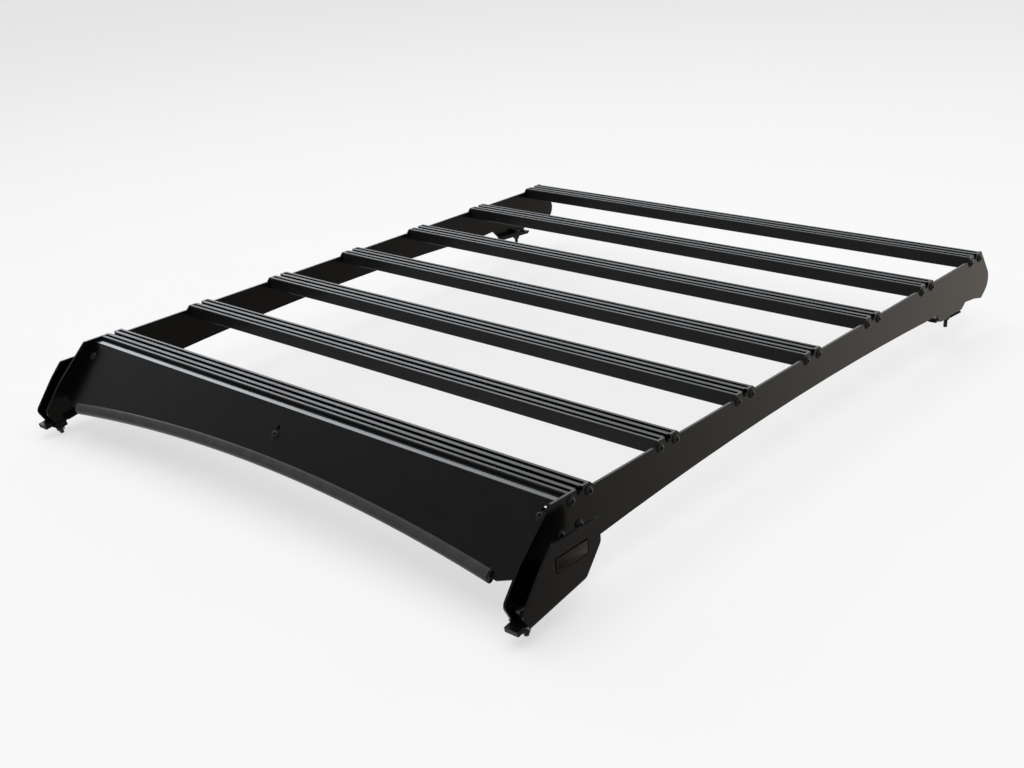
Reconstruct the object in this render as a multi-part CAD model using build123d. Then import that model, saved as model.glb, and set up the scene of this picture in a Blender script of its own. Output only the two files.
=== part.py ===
"""Flat platform roof rack: slotted slats between plate rails, a leaning deflector and four clamped feet."""
import math
import os

from build123d import *

# Side points are (y, z): y runs back from the middle of the first slat, z runs up from the slat tops.
# Lengths are in millimetres. The right-hand pieces are drawn and mirrored for the left.

# Slats
SLAT_COUNT = 7
SLAT_PITCH = 202.0
SLAT_WIDTH = 48.0
SLAT_HEIGHT = 24.0
SLAT_EDGE_RADIUS = 2.0
SLAT_WALL = 2.0
SLOT_MOUTH = 8.4
SLOT_LIP = 3.2
SLOT_WIDTH = 15.0
SLOT_HEIGHT = 7.5
GROOVE_OFFSET = 14.4
GROOVE_WIDTH = 6.8
GROOVE_DEPTH = 5.0
END_BOLT_SPACING = 38.0
END_BOLT_DROP = 12.7
END_BOSS = 9.5

# Side rails
RAILS_WIDTH = 1156.0
RAIL_THICKNESS = 4.0
TAB_HALF_LENGTH = 23.0
TAB_RISE = 7.0
NOTCH_WIDTH = 13.0
NOTCH_DEPTH = 10.0
FIN_TOP = (-60.0, 0.0)
FIN_KINK = (-127.0, -62.0)
FIN_NOSE = (-163.5, -107.6)
FIN_TOP_RADIUS = 4.0
FIN_KINK_RADIUS = 120.0
FIN_NOSE_RADIUS = 14.0
ARCH_START = (15.0, -91.2)
ARCH_TOP = -66.5
TAIL_REAR_RADIUS = 30.0
TAIL_CORNER_RADIUS = 3.0
EDGE_BLEND_RADIUS = 8.0
LUG_NOTCH_RADIUS = 2.0

# Rear end of the rails, as distances behind the last slat's middle and heights
ARCH_END_OFFSET = (-192.0, -77.8)
LUG_NOTCH_OFFSET = (-156.0, -75.8)
REAR_BASE_OFFSET = (-136.0, -97.0)
TAIL_STEP_OFFSET = (-33.0, -88.0)
TAIL_UNDER_OFFSET = (6.0, -92.5)
TAIL_HEEL_OFFSET = (38.5, -100.3)
TAIL_REAR_OFFSET = (77.4, -72.0)
TAIL_TOP_OFFSET = (27.0, 0.0)

# Foot flanges turned in from the rails
FLANGE_BEND = 6.0
FRONT_BASE = (-150.0, -134.0)
FRONT_SLOPE = 9.9
FRONT_FLANGE_START = 22.0
FRONT_FLANGE_END = 116.0
FRONT_FLANGE_REACH = 16.0
REAR_SLOPE = -3.2
REAR_LUG_END = 92.0
REAR_FLANGE_START = 37.0
REAR_FLANGE_END = 90.0
REAR_FLANGE_REACH = 22.0

# Front foot covers
COVER_GAP = 29.0
COVER_THICKNESS = 4.0
COVER_BEND = 7.0
COVER_BASE_REACH = 39.0
COVER_TOP_FRONT = (-97.3, -33.4)
COVER_KINK = (-122.8, -60.4)
COVER_NOSE = (-163.8, -111.9)
COVER_TOE_ALONG = 0.0
COVER_HEEL_ALONG = 114.0
COVER_BACK = 0.7
COVER_BACK_LOW = -72.4
COVER_KINK_RADIUS = 120.0
COVER_NOSE_RADIUS = 12.0
COVER_TOP_RADIUS = 8.0
COVER_CORNER_RADIUS = 3.0
COVER_LOW_RADIUS = 12.0

# Clamps, pads and clamp bolts
FRONT_PAD_THICKNESS = 3.0
FRONT_PAD_START = 36.0
FRONT_PAD_END = 112.0
FRONT_PAD_INSET = 6.0
REAR_PAD_THICKNESS = 3.0
REAR_PAD_START = 42.0
REAR_PAD_END = 88.0
REAR_PAD_INSET = 1.0
FRONT_TONGUE_START = -18.0
FRONT_TONGUE_TOP = 3.2
FRONT_TONGUE_LOW = -4.6
FRONT_TONGUE_GAP = 1.5
FRONT_TONGUE_WIDTH = 24.0
FRONT_LIP_END = 20.0
FRONT_LIP_CLEARANCE = 0.5
FRONT_CLAMP_CLEARANCE = 2.0
FRONT_CLAMP_FRONT = 5.5
FRONT_CLAMP_END = 24.0
FRONT_CLAMP_WIDTH = 16.0
FRONT_CLAMP_HEIGHT = 12.5
REAR_CLAMP_START = -8.0
REAR_CLAMP_LOW = -1.5
REAR_CLAMP_END = 64.0
REAR_CLAMP_CLEARANCE = 0.5
REAR_CLAMP_WIDTH = 16.0
REAR_CLAMP_STRAP = 3.0
BOLT_DIAMETER = 8.0
BOLT_CLEARANCE = 1.0
BOLT_HEX = 13.0
BOLT_HEAD_HEIGHT = 5.3
NUT_HEIGHT = 6.5
COLLAR_DIAMETER = 11.0
FRONT_BOLT_OFFSET = 9.0
FRONT_BOLT_ALONG = 11.5
FRONT_BOLT_END = -29.0
FRONT_COLLAR_HEIGHT = 8.8
REAR_BOLT_INSET = 14.0
REAR_BOLT_ALONG = 51.0
REAR_BOLT_END = -25.0

# Wind deflector
DEFLECTOR_THICKNESS = 2.5
DEFLECTOR_END_GAP = 1.5
DEFLECTOR_BEND_POINT = (-39.5, -6.8)
DEFLECTOR_FLANGE_BACK = -30.5
DEFLECTOR_BEND = 3.5
DEFLECTOR_LEAN = 43.8
DEFLECTOR_MIDDLE_DEPTH = 93.0
DEFLECTOR_END_DEPTH = 112.5
DEFLECTOR_NECK_INSET = 41.0
DEFLECTOR_NECK_DEPTH = 128.5
ARCH_RADIUS = 4000.0
ARCH_END_INSET = 58.5
DEFLECTOR_SLOT_WIDTH = 7.0
DEFLECTOR_SLOT_LENGTH = 20.0
END_SLOT_INSET = 16.5
END_SLOT_DEPTH = 19.5
MIDDLE_SLOT_DEPTH = 39.5

# Rubber trim along the deflector's lower edge
TRIM_FRONT = 7.0
TRIM_BACK = 11.0
TRIM_HEIGHT = 20.5
TRIM_GRIP = 10.5
TRIM_RADIUS = 5.0
TRIM_WALL = 1.8
TRIM_CLEARANCE = 0.2

# Deflector brackets
BRACKET_THICKNESS = 3.0
BRACKET_BEND = 6.0
BRACKET_BOLTS = ((-5.0, -54.3), (-44.0, -54.3))
BRACKET_MARGIN = 8.5
END_BRACKET_REACH = 29.0
END_BRACKET_HIGH = 12.0
END_BRACKET_LOW = 42.0
MIDDLE_BRACKET_WIDTH = 40.0
MIDDLE_BRACKET_LOW = 62.0
MIDDLE_BRACKET_BACK = 14.0

RAIL_OUT = RAILS_WIDTH / 2
RAIL_IN = RAIL_OUT - RAIL_THICKNESS
LAST_SLAT = (SLAT_COUNT - 1) * SLAT_PITCH
CLAMP_HOLE_RADIUS = (BOLT_DIAMETER + BOLT_CLEARANCE) / 2
COVER_OUT = RAIL_OUT + COVER_GAP + COVER_THICKNESS
FRONT_SEAT = -COVER_THICKNESS
FRONT_BOLT_X = RAIL_OUT + FRONT_BOLT_OFFSET
REAR_BOLT_X = RAIL_OUT - REAR_BOLT_INSET
DEFLECTOR_HALF = RAIL_IN - DEFLECTOR_END_GAP
ARCH_HALF = DEFLECTOR_HALF - ARCH_END_INSET
END_SLOT_X = DEFLECTOR_HALF - END_SLOT_INSET


def behind_last(offset):
    """Side point from a distance behind the last slat's middle and a height."""
    return (LAST_SLAT + offset[0], offset[1])


REAR_BASE = behind_last(REAR_BASE_OFFSET)


def on_base(base, slope, along, above):
    """Side point at a distance along a sloped foot base and a height over it."""
    lean = math.radians(slope)
    return (base[0] + along * math.cos(lean) - above * math.sin(lean),
            base[1] + along * math.sin(lean) + above * math.cos(lean))


def foot_frame(base, slope):
    """Frame of a foot: x across the rack, y back along the base, z up from the base."""
    lean = math.radians(slope)
    return Plane(origin=(0, *base), x_dir=(1, 0, 0), z_dir=(0, -math.sin(lean), math.cos(lean)))


FRONT_FOOT = foot_frame(FRONT_BASE, FRONT_SLOPE)
REAR_FOOT = foot_frame(REAR_BASE, REAR_SLOPE)
DEFLECTOR_FACE = Plane(
    origin=(0, *DEFLECTOR_BEND_POINT),
    x_dir=(1, 0, 0),
    z_dir=(0, -math.cos(math.radians(DEFLECTOR_LEAN)), math.sin(math.radians(DEFLECTOR_LEAN))),
)


def on_deflector(depth, behind):
    """Side point at a depth down the deflector's face and a distance behind it."""
    point = DEFLECTOR_FACE.from_local_coords(Vector(0, -depth, -behind))
    return (point.Y, point.Z)


def side_prism(face, x_from, x_to):
    """Solid of a side outline between two stations across the rack."""
    return extrude(Plane.YZ.offset(x_from) * face, amount=x_to - x_from)


def along_prism(face, start, end):
    """Solid of a cross section run along a foot's base."""
    return extrude(Plane.XZ.offset(-start) * face, amount=start - end)


def bent_strip(start, corner, end, thickness, bend):
    """Section of a sheet bent once: the path is its outer side, the thickness lies inside the bend."""
    start, corner, end = Vector(*start), Vector(*corner), Vector(*end)
    first = (corner - start).normalized()
    second = (end - corner).normalized()
    turn = 1 if first.cross(second).Z > 0 else -1
    first_in = Vector(-first.Y, first.X) * turn
    second_in = Vector(-second.Y, second.X) * turn
    inner_corner = corner + (first_in + second_in) * (thickness / (1 + first_in.dot(second_in)))
    inner_start = start + first_in * thickness
    inner_end = end + second_in * thickness
    lines = Curve() + [
        FilletPolyline(start, corner, end, radius=bend),
        Line(end, inner_end),
        FilletPolyline(inner_end, inner_corner, inner_start, radius=bend - thickness),
        Line(inner_start, start),
    ]
    return make_face(lines)


def slat_section():
    """Extruded section with a T-slot, two top grooves and hollow chambers."""
    section = Pos(0, -SLAT_HEIGHT / 2) * RectangleRounded(SLAT_WIDTH, SLAT_HEIGHT, SLAT_EDGE_RADIUS)
    section -= Pos(0, -SLOT_LIP / 2) * Rectangle(SLOT_MOUTH, SLOT_LIP)
    section -= Pos(0, -SLOT_LIP - SLOT_HEIGHT / 2) * Rectangle(SLOT_WIDTH, SLOT_HEIGHT)
    floor = SLAT_WALL - SLAT_HEIGHT
    middle_top = -SLOT_LIP - SLOT_HEIGHT - SLAT_WALL
    section -= Pos(0, (floor + middle_top) / 2) * Rectangle(SLOT_WIDTH, middle_top - floor)
    for side in (-1, 1):
        section -= Pos(side * GROOVE_OFFSET, -GROOVE_DEPTH / 2) * Rectangle(GROOVE_WIDTH, GROOVE_DEPTH)
        section -= slat_chamber(side, floor)
    return section


def slat_chamber(side, floor):
    """Hollow beside the T-slot, cut round the solid boss that takes the end bolt."""
    inner = SLOT_WIDTH / 2 + SLAT_WALL
    outer = SLAT_WIDTH / 2 - SLAT_WALL
    top = -GROOVE_DEPTH - SLAT_WALL
    boss_inner = (END_BOLT_SPACING - END_BOSS) / 2
    boss_low = -END_BOLT_DROP - END_BOSS / 2
    corners = (
        (inner, floor), (outer, floor), (outer, boss_low),
        (boss_inner, boss_low), (boss_inner, top), (inner, top))
    return make_face(Polyline(*[(side * x, z) for x, z in corners], close=True))


def slat(section, index):
    """One slat between the rails."""
    return Pos(0, index * SLAT_PITCH, 0) * side_prism(section, -RAIL_IN, RAIL_IN)


def rail_top():
    """Upper edge of the rail from back to front, with a tab rising at every slat."""
    points = []
    for index in reversed(range(SLAT_COUNT)):
        middle = index * SLAT_PITCH
        if index < SLAT_COUNT - 1:
            points.append((middle + TAB_HALF_LENGTH + TAB_RISE, -TAB_RISE))
        points.append((middle + TAB_HALF_LENGTH, 0))
        points.append((middle - TAB_HALF_LENGTH, 0))
        if index > 0:
            points.append((middle - TAB_HALF_LENGTH - TAB_RISE, -TAB_RISE))
    return Polyline(*points)


def rail_outline():
    """Side outline of a rail with its fin, arch, rear lug and tail."""
    toe = on_base(FRONT_BASE, FRONT_SLOPE, 0, 0)
    relief_low = on_base(FRONT_BASE, FRONT_SLOPE, FRONT_FLANGE_START, 0)
    relief_high = on_base(FRONT_BASE, FRONT_SLOPE, FRONT_FLANGE_START, FLANGE_BEND)
    heel = on_base(FRONT_BASE, FRONT_SLOPE, FRONT_FLANGE_END, FLANGE_BEND)
    fin = FilletPolyline(
        (-TAB_HALF_LENGTH, 0), FIN_TOP, FIN_KINK, FIN_NOSE, toe, relief_low, relief_high, heel, ARCH_START,
        radius=[FIN_TOP_RADIUS, FIN_KINK_RADIUS, FIN_NOSE_RADIUS, 0, 0, 0, 0],
    )
    arch_end = behind_last(ARCH_END_OFFSET)
    lug_front = on_base(REAR_BASE, REAR_SLOPE, 0, 0)
    lug_relief_low = on_base(REAR_BASE, REAR_SLOPE, REAR_FLANGE_START, 0)
    lug_relief_high = on_base(REAR_BASE, REAR_SLOPE, REAR_FLANGE_START, FLANGE_BEND)
    lug_back = on_base(REAR_BASE, REAR_SLOPE, REAR_LUG_END, FLANGE_BEND)
    tail = FilletPolyline(
        arch_end, behind_last(LUG_NOTCH_OFFSET), lug_front, lug_relief_low, lug_relief_high, lug_back,
        behind_last(TAIL_STEP_OFFSET), behind_last(TAIL_UNDER_OFFSET), behind_last(TAIL_HEEL_OFFSET),
        behind_last(TAIL_REAR_OFFSET), behind_last(TAIL_TOP_OFFSET), behind_last((TAB_HALF_LENGTH, 0)),
        radius=[LUG_NOTCH_RADIUS, 0, 0, 0, 0, TAIL_CORNER_RADIUS, EDGE_BLEND_RADIUS, TAIL_CORNER_RADIUS,
                TAIL_REAR_RADIUS, TAIL_CORNER_RADIUS],
    )
    arch = ThreePointArc(ARCH_START, (LAST_SLAT / 2, ARCH_TOP), arch_end)
    return make_face(Curve() + [fin, arch, tail, rail_top()])


def rail_face():
    """Rail outline with its slat notches cut."""
    face = rail_outline()
    for index in range(SLAT_COUNT):
        face -= Pos(index * SLAT_PITCH, 0) * SlotOverall(2 * NOTCH_DEPTH, NOTCH_WIDTH, rotation=90)
    return face


def turned_flange(reach, start, end):
    """Flange turned inward from the bottom of a rail, in its foot's frame."""
    section = bent_strip(
        (RAIL_OUT, 2 * FLANGE_BEND), (RAIL_OUT, 0), (RAIL_OUT - reach, 0), RAIL_THICKNESS, FLANGE_BEND)
    return along_prism(section, start, end)


def clamp_hole(x, along):
    """Cutter for a clamp bolt's clearance hole, in its foot's frame."""
    return Pos(x, along, 0) * Cylinder(CLAMP_HOLE_RADIUS, 2 * (FRONT_CLAMP_HEIGHT + BOLT_HEX))


def side_rail():
    """Right rail: one plate with both foot flanges turned in."""
    rail = side_prism(rail_face(), RAIL_IN, RAIL_OUT)
    rail += FRONT_FOOT * turned_flange(FRONT_FLANGE_REACH, FRONT_FLANGE_START, FRONT_FLANGE_END)
    rear = turned_flange(REAR_FLANGE_REACH, REAR_FLANGE_START, REAR_FLANGE_END)
    rail += REAR_FOOT * (rear - clamp_hole(REAR_BOLT_X, REAR_BOLT_ALONG))
    return rail


def cover_outline():
    """Side outline of the front foot cover."""
    toe = on_base(FRONT_BASE, FRONT_SLOPE, COVER_TOE_ALONG, FRONT_SEAT)
    heel = on_base(FRONT_BASE, FRONT_SLOPE, COVER_HEEL_ALONG, FRONT_SEAT)
    edge = FilletPolyline(
        COVER_TOP_FRONT, COVER_KINK, COVER_NOSE, toe, heel, (COVER_BACK, COVER_BACK_LOW),
        (COVER_BACK, COVER_TOP_FRONT[1]),
        radius=[COVER_TOP_RADIUS, COVER_KINK_RADIUS, COVER_NOSE_RADIUS, COVER_CORNER_RADIUS, COVER_LOW_RADIUS,
                COVER_LOW_RADIUS, COVER_CORNER_RADIUS],
        close=True,
    )
    return make_face(edge)


def front_foot_cover():
    """Right front cover: a wall outside the rail with a base turned in under the rail."""
    wall_top = COVER_TOP_FRONT[1] - FRONT_BASE[1] + COVER_HEEL_ALONG
    base_end = COVER_OUT - COVER_BASE_REACH
    section = bent_strip(
        (COVER_OUT, wall_top), (COVER_OUT, FRONT_SEAT), (base_end, FRONT_SEAT), COVER_THICKNESS, COVER_BEND)
    angle = along_prism(section, -COVER_HEEL_ALONG, 2 * COVER_HEEL_ALONG)
    angle -= clamp_hole(FRONT_BOLT_X, FRONT_BOLT_ALONG)
    return (FRONT_FOOT * angle) & side_prism(cover_outline(), 0, 2 * COVER_OUT)


def front_pad():
    """Rubber pad under the right front cover's base."""
    inner = COVER_OUT - COVER_BASE_REACH + FRONT_PAD_INSET
    outer = COVER_OUT - COVER_BEND
    section = Pos((inner + outer) / 2, FRONT_SEAT - FRONT_PAD_THICKNESS / 2) * Rectangle(
        outer - inner, FRONT_PAD_THICKNESS)
    return FRONT_FOOT * along_prism(section, FRONT_PAD_START, FRONT_PAD_END)


def rear_pad():
    """Rubber pad under the right rear flange, with the clamp bolt through it."""
    inner = RAIL_OUT - REAR_FLANGE_REACH + REAR_PAD_INSET
    outer = RAIL_OUT - REAR_PAD_INSET
    section = Pos((inner + outer) / 2, -REAR_PAD_THICKNESS / 2) * Rectangle(outer - inner, REAR_PAD_THICKNESS)
    pad = along_prism(section, REAR_PAD_START, REAR_PAD_END)
    return REAR_FOOT * (pad - clamp_hole(REAR_BOLT_X, REAR_BOLT_ALONG))


def front_clamp():
    """Right front clamp: a lip on the cover's base, a tongue in front of it and a block under it."""
    inner = RAIL_OUT + FRONT_TONGUE_GAP
    front_stop = -FRONT_CLAMP_CLEARANCE
    tongue = Polyline(
        (FRONT_TONGUE_START, FRONT_TONGUE_LOW), (front_stop, FRONT_TONGUE_LOW),
        (front_stop, FRONT_TONGUE_TOP), (FRONT_TONGUE_START, FRONT_TONGUE_TOP), close=True)
    lip = Polyline(
        (front_stop, 0), (FRONT_LIP_END, 0), (FRONT_LIP_END, FRONT_TONGUE_TOP),
        (front_stop, FRONT_TONGUE_TOP), close=True)
    low = FRONT_SEAT - FRONT_CLAMP_HEIGHT
    block = Polyline(
        (FRONT_CLAMP_FRONT, low), (FRONT_CLAMP_END, low), (FRONT_CLAMP_END, FRONT_SEAT),
        (FRONT_CLAMP_FRONT - FRONT_CLAMP_HEIGHT, FRONT_SEAT), close=True)
    clamp = side_prism(make_face(tongue), inner, inner + FRONT_TONGUE_WIDTH)
    clamp += side_prism(make_face(lip), inner, COVER_OUT - COVER_BEND - FRONT_LIP_CLEARANCE)
    half = FRONT_CLAMP_WIDTH / 2
    clamp += side_prism(make_face(block), FRONT_BOLT_X - half, FRONT_BOLT_X + half)
    return FRONT_FOOT * (clamp - clamp_hole(FRONT_BOLT_X, FRONT_BOLT_ALONG))


def rear_clamp():
    """Right rear clamp: a strap on the flange with a thick end in front of it."""
    top = RAIL_THICKNESS + REAR_CLAMP_STRAP
    step = REAR_FLANGE_START - REAR_CLAMP_CLEARANCE
    profile = Polyline(
        (REAR_CLAMP_START, REAR_CLAMP_LOW), (step, REAR_CLAMP_LOW), (step, RAIL_THICKNESS),
        (REAR_CLAMP_END, RAIL_THICKNESS), (REAR_CLAMP_END, top), (REAR_CLAMP_START, top), close=True)
    outer = RAIL_OUT - FLANGE_BEND - REAR_CLAMP_CLEARANCE
    clamp = side_prism(make_face(profile), outer - REAR_CLAMP_WIDTH, outer)
    return REAR_FOOT * (clamp - clamp_hole(REAR_BOLT_X, REAR_BOLT_ALONG))


def clamp_bolt(x, along, head_seat, nut_seat, end):
    """Hex bolt with its nut, in its foot's frame."""
    hexagon = RegularPolygon(BOLT_HEX / 2, 6, major_radius=False)
    head = extrude(Pos(0, 0, head_seat) * hexagon, amount=BOLT_HEAD_HEIGHT)
    shank = extrude(Pos(0, 0, head_seat) * Circle(BOLT_DIAMETER / 2), amount=end - head_seat)
    nut = extrude(Pos(0, 0, nut_seat) * hexagon, amount=-NUT_HEIGHT)
    return Pos(x, along, 0) * (head + shank + nut)


def front_clamp_bolt():
    """Right front clamp bolt, its head held up by a collar on the clamp's lip."""
    head_seat = FRONT_TONGUE_TOP + FRONT_COLLAR_HEIGHT
    block_low = FRONT_SEAT - FRONT_CLAMP_HEIGHT
    bolt = clamp_bolt(FRONT_BOLT_X, FRONT_BOLT_ALONG, head_seat, block_low, FRONT_BOLT_END)
    collar = extrude(Pos(0, 0, FRONT_TONGUE_TOP) * Circle(COLLAR_DIAMETER / 2), amount=FRONT_COLLAR_HEIGHT)
    return FRONT_FOOT * (bolt + Pos(FRONT_BOLT_X, FRONT_BOLT_ALONG, 0) * collar)


def rear_clamp_bolt():
    """Right rear clamp bolt through the strap, the flange and the pad."""
    head_seat = RAIL_THICKNESS + REAR_CLAMP_STRAP
    return REAR_FOOT * clamp_bolt(
        REAR_BOLT_X, REAR_BOLT_ALONG, head_seat, -REAR_PAD_THICKNESS, REAR_BOLT_END)


def arch_drop(x):
    """Depth that the deflector's lower arch gains from its middle out to a station."""
    return ARCH_RADIUS - math.sqrt(ARCH_RADIUS ** 2 - x ** 2)


def deflector_outline():
    """Front outline of the deflector on its leaning face, with its bolt slots."""
    end = DEFLECTOR_HALF
    neck = end - DEFLECTOR_NECK_INSET
    arch_low = -DEFLECTOR_MIDDLE_DEPTH - arch_drop(ARCH_HALF)
    above = 2 * DEFLECTOR_BEND - DEFLECTOR_FLANGE_BACK
    arch = ThreePointArc(
        (-ARCH_HALF, arch_low), (0, -DEFLECTOR_MIDDLE_DEPTH), (ARCH_HALF, arch_low))
    edge = Polyline(
        (ARCH_HALF, arch_low), (neck, -DEFLECTOR_NECK_DEPTH),
        (end, -DEFLECTOR_END_DEPTH), (end, above), (-end, above), (-end, -DEFLECTOR_END_DEPTH),
        (-neck, -DEFLECTOR_NECK_DEPTH), (-ARCH_HALF, arch_low))
    face = make_face(Curve() + [arch, edge])
    slot = SlotOverall(DEFLECTOR_SLOT_LENGTH, DEFLECTOR_SLOT_WIDTH, rotation=90)
    for x, depth in ((-END_SLOT_X, END_SLOT_DEPTH), (0, MIDDLE_SLOT_DEPTH), (END_SLOT_X, END_SLOT_DEPTH)):
        face -= Pos(x, -depth) * slot
    return face


def wind_deflector():
    """Bent sheet leaning forward, cut to its arched outline."""
    reach = DEFLECTOR_MIDDLE_DEPTH + 2 * arch_drop(ARCH_HALF)
    section = bent_strip(
        (DEFLECTOR_FLANGE_BACK, DEFLECTOR_BEND_POINT[1]), DEFLECTOR_BEND_POINT, on_deflector(reach, 0),
        DEFLECTOR_THICKNESS, DEFLECTOR_BEND)
    sheet = side_prism(section, -DEFLECTOR_HALF, DEFLECTOR_HALF)
    depth = 2 * DEFLECTOR_MIDDLE_DEPTH
    cutter = extrude(DEFLECTOR_FACE * deflector_outline(), amount=depth, both=True)
    return sheet & cutter


def trim_section():
    """Hollow rubber section with two cells and a slot for the sheet's edge: x up the face, y out of it."""
    top = TRIM_GRIP
    low = TRIM_GRIP - TRIM_HEIGHT
    depth = TRIM_FRONT + TRIM_BACK
    middle = (top + low) / 2
    body = Pos(middle, (TRIM_FRONT - TRIM_BACK) / 2) * RectangleRounded(TRIM_HEIGHT, depth, TRIM_RADIUS)
    sheet_front = TRIM_CLEARANCE
    sheet_back = -DEFLECTOR_THICKNESS - TRIM_CLEARANCE
    slot_length = top + TRIM_CLEARANCE
    body -= Pos(slot_length / 2 - TRIM_CLEARANCE, (sheet_front + sheet_back) / 2) * Rectangle(
        slot_length, sheet_front - sheet_back)
    cell_height = TRIM_HEIGHT - 2 * TRIM_WALL
    front_cell = (sheet_front + TRIM_WALL, TRIM_FRONT - TRIM_WALL)
    back_cell = (TRIM_WALL - TRIM_BACK, sheet_back - TRIM_WALL)
    for near, far in (front_cell, back_cell):
        body -= Pos(middle, (near + far) / 2) * Rectangle(cell_height, far - near)
    return body


def deflector_edge_trim():
    """Trim section swept along the deflector's arch."""
    sweep_half = math.degrees(math.asin(ARCH_HALF / ARCH_RADIUS))
    section = Plane.XZ * Pos(ARCH_RADIUS, 0) * trim_section()
    ring = Rot(0, 0, 90 - sweep_half) * revolve(section, Axis.Z, 2 * sweep_half)
    return DEFLECTOR_FACE * Pos(0, -DEFLECTOR_MIDDLE_DEPTH - ARCH_RADIUS, 0) * ring


def end_bracket():
    """Right end bracket: a plate on the rail with a leg turned in behind the deflector."""
    (back_y, bolt_z), (front_y, _) = BRACKET_BOLTS
    margin = BRACKET_MARGIN
    outline = Polyline(
        on_deflector(END_BRACKET_HIGH, DEFLECTOR_THICKNESS), (back_y + margin, bolt_z + margin),
        (back_y + margin, bolt_z - margin), (front_y - margin, bolt_z - margin),
        on_deflector(END_BRACKET_LOW, DEFLECTOR_THICKNESS), close=True)
    plate = side_prism(make_face(outline), RAIL_IN - BRACKET_THICKNESS, RAIL_IN)
    middle = -(END_BRACKET_HIGH + END_BRACKET_LOW) / 2
    leg = Pos(RAIL_IN - END_BRACKET_REACH / 2, middle) * Rectangle(
        END_BRACKET_REACH, END_BRACKET_LOW - END_BRACKET_HIGH)
    turned = extrude(Pos(0, 0, -DEFLECTOR_THICKNESS) * leg, amount=-BRACKET_THICKNESS)
    return plate + DEFLECTOR_FACE * turned


def middle_bracket():
    """Bracket from the first slat's underside down behind the deflector's middle."""
    high = (-SLAT_HEIGHT - DEFLECTOR_BEND_POINT[1]) / -math.cos(math.radians(DEFLECTOR_LEAN))
    high -= DEFLECTOR_THICKNESS * math.tan(math.radians(DEFLECTOR_LEAN))
    section = bent_strip(
        (MIDDLE_BRACKET_BACK, -SLAT_HEIGHT), on_deflector(high, DEFLECTOR_THICKNESS),
        on_deflector(MIDDLE_BRACKET_LOW, DEFLECTOR_THICKNESS), BRACKET_THICKNESS, BRACKET_BEND)
    return side_prism(section, -MIDDLE_BRACKET_WIDTH / 2, MIDDLE_BRACKET_WIDTH / 2)


def build_nodes():
    """Every node of the rack in side coordinates."""
    section = slat_section()
    nodes = {f"slat_{index + 1}": slat(section, index) for index in range(SLAT_COUNT)}
    nodes["wind_deflector"] = wind_deflector()
    nodes["deflector_edge_trim"] = deflector_edge_trim()
    nodes["deflector_middle_bracket"] = middle_bracket()
    pairs = {
        "side_rail": side_rail(),
        "front_foot_cover": front_foot_cover(),
        "front_foot_pad": front_pad(),
        "front_clamp": front_clamp(),
        "front_clamp_bolt": front_clamp_bolt(),
        "rear_foot_pad": rear_pad(),
        "rear_clamp": rear_clamp(),
        "rear_clamp_bolt": rear_clamp_bolt(),
        "deflector_end_bracket": end_bracket(),
    }
    for name, piece in pairs.items():
        nodes["right_" + name] = piece
        nodes["left_" + name] = mirror(piece, about=Plane.YZ)
    return nodes


def main():
    """Set the rack on the floor with its plan centred on the origin, and write one file for each node."""
    os.makedirs("parts", exist_ok=True)
    nodes = build_nodes()
    box = Compound(children=[piece.solid() for piece in nodes.values()]).bounding_box()
    place = Pos(0, -(box.min.Y + box.max.Y) / 2, -box.min.Z)
    for name, piece in nodes.items():
        export_step(place * piece.solid(), f"parts/{name}.step")
    print("first slat middle y", place.position.Y, "slat tops z", place.position.Z)


main()
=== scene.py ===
import math
import random

import bpy
from mathutils import Matrix, Vector
from mathutils.geometry import tessellate_polygon


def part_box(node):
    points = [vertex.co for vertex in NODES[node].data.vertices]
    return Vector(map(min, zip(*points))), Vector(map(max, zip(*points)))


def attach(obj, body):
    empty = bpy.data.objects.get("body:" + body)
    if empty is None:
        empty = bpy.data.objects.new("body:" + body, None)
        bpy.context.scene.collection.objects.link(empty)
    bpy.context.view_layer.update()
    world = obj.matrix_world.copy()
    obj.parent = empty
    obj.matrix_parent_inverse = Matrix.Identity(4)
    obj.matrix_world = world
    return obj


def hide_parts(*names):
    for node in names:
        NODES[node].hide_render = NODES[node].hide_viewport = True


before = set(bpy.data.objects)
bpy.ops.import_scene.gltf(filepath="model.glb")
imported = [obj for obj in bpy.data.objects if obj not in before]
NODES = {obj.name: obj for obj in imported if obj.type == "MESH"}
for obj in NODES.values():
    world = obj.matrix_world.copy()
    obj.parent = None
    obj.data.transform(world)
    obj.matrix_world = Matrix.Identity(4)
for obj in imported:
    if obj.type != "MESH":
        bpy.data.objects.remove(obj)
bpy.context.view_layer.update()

MM = 0.001

# Side coordinates as in the part's source: y runs back from the first slat's middle,
# and z runs up from the slat tops
slat_low, slat_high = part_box("slat_1")
SLAT_Y = (slat_low.y + slat_high.y) / 2
SLAT_TOP = slat_high.z

# Sizes of the solids that the small pieces sit on, in millimetres and degrees
SLAT_COUNT = 7
SLAT_PITCH = 202.0
SLAT_HEIGHT = 24.0
END_BOLT_HALF_SPACING = 19.0
END_BOLT_DROP = 12.7
RAIL_OUT = 578.0
RAIL_IN = 574.0
RAIL_THICKNESS = 4.0
COVER_OUT = 611.0
BRACKET_THICKNESS = 3.0
BRACKET_BOLTS = ((-5.0, -54.3), (-44.0, -54.3))
MIDDLE_BRACKET_BOLT_Y = 2.0
FOOT_NUT = (-85.5, -87.4)
FRONT_BASE = (-150.0, -134.0)
FRONT_SLOPE = 9.9
FRONT_BOLT_X = 587.0
FRONT_BOLT_ALONG = 11.5
FRONT_COLLAR_SEAT = 3.2
FRONT_HEAD_SEAT = 12.0
FRONT_NUT_SEAT = -16.5
FRONT_BOLT_END = -29.0
REAR_BASE = (1076.0, -97.0)
REAR_SLOPE = -3.2
REAR_BOLT_X = 564.0
REAR_BOLT_ALONG = 51.0
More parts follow.
